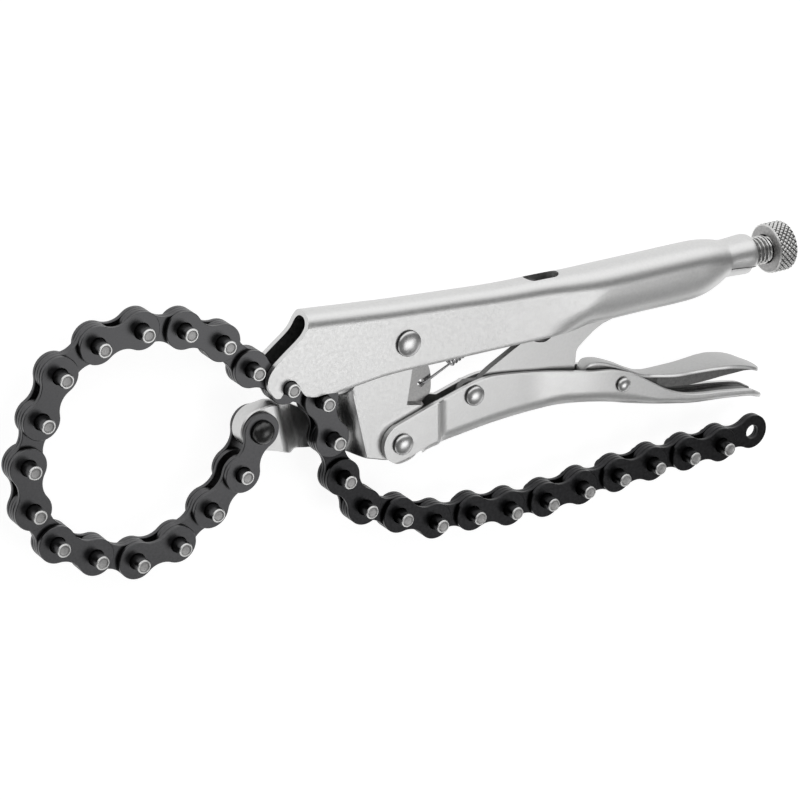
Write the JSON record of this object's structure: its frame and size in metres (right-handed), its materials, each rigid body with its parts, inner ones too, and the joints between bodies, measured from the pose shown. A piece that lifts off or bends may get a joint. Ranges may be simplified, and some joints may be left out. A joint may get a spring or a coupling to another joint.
{
  "type": "chain clamp",
  "caption": "Locking chain clamp with pressed steel handles, an over-centre toggle link, a knurled adjusting screw and a long black chain looped back into the notched nose.",
  "frame": {"origin": "bottom centre of the bounding box, with the tool lying on its side in the locked state", "axes": "+X along the handles towards the adjusting knob, +Y from the lower handle to the upper one, +Z out of the tool's side, along every hinge axis"},
  "size_m": [0.3162, 0.1126, 0.021],
  "materials": {
    "satin_nickel": "satin nickel plate",
    "bright_rivet": "bright",
    "black_chain": "black oxide",
    "spring_wire": "drawn wire"
  },
  "bodies": {
    "upper_handle": {"upper_handle": "satin_nickel", "jaw_pivot_rivet": "bright_rivet"},
    "jaw": {"jaw": "satin_nickel", "lower_pivot_rivet": "bright_rivet", "anchor_rivet": "bright_rivet"},
    "lower_handle": {"lower_handle": "satin_nickel", "link_pivot_rivet": "bright_rivet", "release_pivot_rivet": "bright_rivet"},
    "toggle_link": {"toggle_link": "satin_nickel"},
    "release_lever": {"release_lever": "satin_nickel"},
    "screw": {"adjusting_screw": "satin_nickel"},
    "knob": {"adjusting_knob": "satin_nickel"},
    "spring": {"jaw_spring": "spring_wire"},
    "anchor_link": {"anchor_plate_front": "black_chain", "anchor_plate_back": "black_chain"},
    "link_02": {"outer_link_02": "black_chain"},
    "link_03": {"inner_link_03": "black_chain"},
    "link_04": {"outer_link_04": "black_chain"},
    "link_05": {"inner_link_05": "black_chain"},
    "link_06": {"outer_link_06": "black_chain"},
    "link_07": {"inner_link_07": "black_chain"},
    "link_08": {"outer_link_08": "black_chain"},
    "link_09": {"inner_link_09": "black_chain"},
    "link_10": {"outer_link_10": "black_chain"},
    "link_11": {"inner_link_11": "black_chain"},
    "link_12": {"outer_link_12": "black_chain"},
    "link_13": {"inner_link_13": "black_chain"},
    "link_14": {"outer_link_14": "black_chain"},
    "link_15": {"inner_link_15": "black_chain"},
    "link_16": {"outer_link_16": "black_chain"},
    "link_17": {"inner_link_17": "black_chain"},
    "link_18": {"outer_link_18": "black_chain"},
    "link_19": {"inner_link_19": "black_chain"},
    "link_20": {"outer_link_20": "black_chain"},
    "link_21": {"inner_link_21": "black_chain"},
    "link_22": {"outer_link_22": "black_chain"},
    "link_23": {"inner_link_23": "black_chain"},
    "link_24": {"outer_link_24": "black_chain"},
    "link_25": {"inner_link_25": "black_chain"},
    "link_26": {"outer_link_26": "black_chain"},
    "link_27": {"inner_link_27": "black_chain"},
    "link_28": {"outer_link_28": "black_chain"},
    "link_29": {"inner_link_29": "black_chain"},
    "link_30": {"outer_link_30": "black_chain"},
    "link_31": {"inner_link_31": "black_chain"}
  },
  "joints": [
    {"name": "handle_hinge", "type": "hinge", "parent": "jaw", "child": "lower_handle", "pos_m": [-0.01128, -0.01196, 0.0116], "axis": [0, 0, -1], "range_deg": [0, 35]},
    {"name": "jaw_hinge", "type": "hinge", "parent": "upper_handle", "child": "jaw", "pos_m": [-0.00908, 0.02514, 0.0116], "axis": [0, 0, 1], "range_deg": [-0.3, 8.03]},
    {"name": "link_hinge", "type": "hinge", "parent": "lower_handle", "child": "toggle_link", "pos_m": [0.01942, -0.00116, 0.0116], "axis": [0, 0, 1], "range_deg": [-0.3, 41.94]},
    {"name": "release_hinge", "type": "hinge", "parent": "lower_handle", "child": "release_lever", "pos_m": [0.08225, -0.01006, 0.0116], "axis": [0, 0, -1], "range_deg": [0, 6]},
    {"name": "spring_hinge", "type": "hinge", "parent": "jaw", "child": "spring", "pos_m": [-0.00088, 0.00694, 0.0116], "axis": [0, 0, 1], "range_deg": [-8.16, 0.3]},
    {"name": "screw_slide", "type": "slide", "parent": "upper_handle", "child": "screw", "axis": [1, 0, 0], "range_m": [0, 0.012]},
    {"name": "knob_spin", "type": "hinge", "parent": "screw", "child": "knob", "pos_m": [0.14942, 0.02704, 0.0116], "axis": [1, 0, 0], "range_deg": [-5, 2473.6]},
    {"name": "loop_01", "type": "hinge", "parent": "jaw", "child": "anchor_link", "pos_m": [-0.06648, 0.00504, 0.0116], "axis": [0, 0, 1], "range_deg": [-2.32, 0.3]},
    {"name": "loop_02", "type": "hinge", "parent": "anchor_link", "child": "link_02", "pos_m": [-0.07399, -0.00895, 0.0116], "axis": [0, 0, 1], "range_deg": [-2.31, 0.3]},
    {"name": "loop_03", "type": "hinge", "parent": "link_02", "child": "link_03", "pos_m": [-0.08539, -0.02, 0.0116], "axis": [0, 0, 1], "range_deg": [-2.95, 0.3]},
    {"name": "loop_04", "type": "hinge", "parent": "link_03", "child": "link_04", "pos_m": [-0.09812, -0.02949, 0.0116], "axis": [0, 0, 1], "range_deg": [-2.2, 0.3]},
    {"name": "loop_05", "type": "hinge", "parent": "link_04", "child": "link_05", "pos_m": [-0.11384, -0.03167, 0.0116], "axis": [0, 0, 1], "range_deg": [-0.3, 1.98]},
    {"name": "loop_06", "type": "hinge", "parent": "link_05", "child": "link_06", "pos_m": [-0.12886, -0.02652, 0.0116], "axis": [0, 0, 1], "range_deg": [-0.3, 3.1]},
    {"name": "loop_07", "type": "hinge", "parent": "link_06", "child": "link_07", "pos_m": [-0.14254, -0.01847, 0.0116], "axis": [0, 0, 1], "range_deg": [-0.3, 2.51]},
    {"name": "loop_08", "type": "hinge", "parent": "link_07", "child": "link_08", "pos_m": [-0.15041, -0.00468, 0.0116], "axis": [0, 0, 1], "range_deg": [-0.3, 1.91]},
    {"name": "loop_09", "type": "hinge", "parent": "link_08", "child": "link_09", "pos_m": [-0.15143, 0.01116, 0.0116], "axis": [0, 0, 1], "range_deg": [-1.56, 0.3]},
    {"name": "loop_10", "type": "hinge", "parent": "link_09", "child": "link_10", "pos_m": [-0.146, 0.02608, 0.0116], "axis": [0, 0, 1], "range_deg": [-0.3, 1.56]},
    {"name": "loop_11", "type": "hinge", "parent": "link_10", "child": "link_11", "pos_m": [-0.13882, 0.04023, 0.0116], "axis": [0, 0, 1], "range_deg": [-1.56, 0.3]},
    {"name": "loop_12", "type": "hinge", "parent": "link_11", "child": "link_12", "pos_m": [-0.12487, 0.04782, 0.0116], "axis": [0, 0, 1], "range_deg": [-0.3, 1.56]},
    {"name": "loop_13", "type": "hinge", "parent": "link_12", "child": "link_13", "pos_m": [-0.1091, 0.04963, 0.0116], "axis": [0, 0, 1], "range_deg": [-1.78, 0.3]},
    {"name": "loop_14", "type": "hinge", "parent": "link_13", "child": "link_14", "pos_m": [-0.09354, 0.04648, 0.0116], "axis": [0, 0, 1], "range_deg": [-0.3, 1.56]},
    {"name": "loop_15", "type": "hinge", "parent": "link_14", "child": "link_15", "pos_m": [-0.07948, 0.03912, 0.0116], "axis": [0, 0, 1], "range_deg": [-1.56, 0.3]},
    {"name": "loop_16", "type": "hinge", "parent": "link_15", "child": "link_16", "pos_m": [-0.06874, 0.02743, 0.0116], "axis": [0, 0, 1], "range_deg": [-0.3, 1.56]},
    {"name": "tail_17", "type": "hinge", "parent": "upper_handle", "child": "link_17", "pos_m": [-0.05558, 0.01854, 0.0116], "axis": [0, 0, -1], "range_deg": [-1.2, 4]},
    {"name": "tail_18", "type": "hinge", "parent": "link_17", "child": "link_18", "pos_m": [-0.04197, 0.01036, 0.0116], "axis": [0, 0, 1], "range_deg": [-6, 1.8]},
    {"name": "tail_19", "type": "hinge", "parent": "link_18", "child": "link_19", "pos_m": [-0.03787, -0.00497, 0.0116], "axis": [0, 0, -1], "range_deg": [-1.8, 8]},
    {"name": "tail_20", "type": "hinge", "parent": "link_19", "child": "link_20", "pos_m": [-0.03376, -0.02031, 0.0116], "axis": [0, 0, 1], "range_deg": [-9.75, 0.3]},
    {"name": "tail_21", "type": "hinge", "parent": "link_20", "child": "link_21", "pos_m": [-0.02511, -0.03362, 0.0116], "axis": [0, 0, 1], "range_deg": [-9.75, 0.3]},
    {"name": "tail_22", "type": "hinge", "parent": "link_21", "child": "link_22", "pos_m": [-0.01072, -0.04033, 0.0116], "axis": [0, 0, 1], "range_deg": [-9.75, 0.3]},
    {"name": "tail_23", "type": "hinge", "parent": "link_22", "child": "link_23", "pos_m": [0.004, -0.04628, 0.0116], "axis": [0, 0, -1], "range_deg": [-2.2, 18]},
    {"name": "tail_24", "type": "hinge", "parent": "link_23", "child": "link_24", "pos_m": [0.01985, -0.04711, 0.0116], "axis": [0, 0, 1], "range_deg": [-18, 2.4]},
    {"name": "tail_25", "type": "hinge", "parent": "link_24", "child": "link_25", "pos_m": [0.0356, -0.04904, 0.0116], "axis": [0, 0, -1], "range_deg": [-2.6, 18]},
    {"name": "tail_26", "type": "hinge", "parent": "link_25", "child": "link_26", "pos_m": [0.05147, -0.0496, 0.0116], "axis": [0, 0, 1], "range_deg": [-18, 2.8]},
    {"name": "tail_27", "type": "hinge", "parent": "link_26", "child": "link_27", "pos_m": [0.06731, -0.04849, 0.0116], "axis": [0, 0, -1], "range_deg": [-3, 18]},
    {"name": "tail_28", "type": "hinge", "parent": "link_27", "child": "link_28", "pos_m": [0.08314, -0.04738, 0.0116], "axis": [0, 0, 1], "range_deg": [-18, 4]},
    {"name": "tail_29", "type": "hinge", "parent": "link_28", "child": "link_29", "pos_m": [0.099, -0.04655, 0.0116], "axis": [0, 0, -1], "range_deg": [-5, 18]},
    {"name": "tail_30", "type": "hinge", "parent": "link_29", "child": "link_30", "pos_m": [0.11487, -0.04627, 0.0116], "axis": [0, 0, 1], "range_deg": [-18, 7]},
    {"name": "tail_31", "type": "hinge", "parent": "link_30", "child": "link_31", "pos_m": [0.13074, -0.04627, 0.0116], "axis": [0, 0, -1], "range_deg": [-14, 18]}
  ],
  "couplings": [
    {"joint": "jaw_hinge", "follows": "handle_hinge", "ratio": 0.2208},
    {"joint": "link_hinge", "follows": "handle_hinge", "ratio": 1.1896},
    {"joint": "spring_hinge", "follows": "handle_hinge", "ratio": -0.2247},
    {"joint": "knob_spin", "follows": "screw_slide", "rad_per_m": 3590.4},
    {"joint": "loop_01", "follows": "handle_hinge", "ratio": -0.05767},
    {"joint": "loop_02", "follows": "handle_hinge", "ratio": -0.05745},
    {"joint": "loop_03", "follows": "handle_hinge", "ratio": -0.07575},
    {"joint": "loop_04", "follows": "handle_hinge", "ratio": -0.05433},
    {"joint": "loop_05", "follows": "handle_hinge", "ratio": 0.04795},
    {"joint": "loop_06", "follows": "handle_hinge", "ratio": 0.08005},
    {"joint": "loop_07", "follows": "handle_hinge", "ratio": 0.06312},
    {"joint": "loop_08", "follows": "handle_hinge", "ratio": 0.04599},
    {"joint": "loop_09", "follows": "handle_hinge", "ratio": -0.03597},
    {"joint": "loop_10", "follows": "handle_hinge", "ratio": 0.03598},
    {"joint": "loop_11", "follows": "handle_hinge", "ratio": -0.03599},
    {"joint": "loop_12", "follows": "handle_hinge", "ratio": 0.03596},
    {"joint": "loop_13", "follows": "handle_hinge", "ratio": -0.04239},
    {"joint": "loop_14", "follows": "handle_hinge", "ratio": 0.03596},
    {"joint": "loop_15", "follows": "handle_hinge", "ratio": -0.03599},
    {"joint": "loop_16", "follows": "handle_hinge", "ratio": 0.03597},
    {"joint": "tail_20", "follows": "handle_hinge", "ratio": -0.27},
    {"joint": "tail_21", "follows": "handle_hinge", "ratio": -0.27},
    {"joint": "tail_22", "follows": "handle_hinge", "ratio": -0.27}
  ]
}
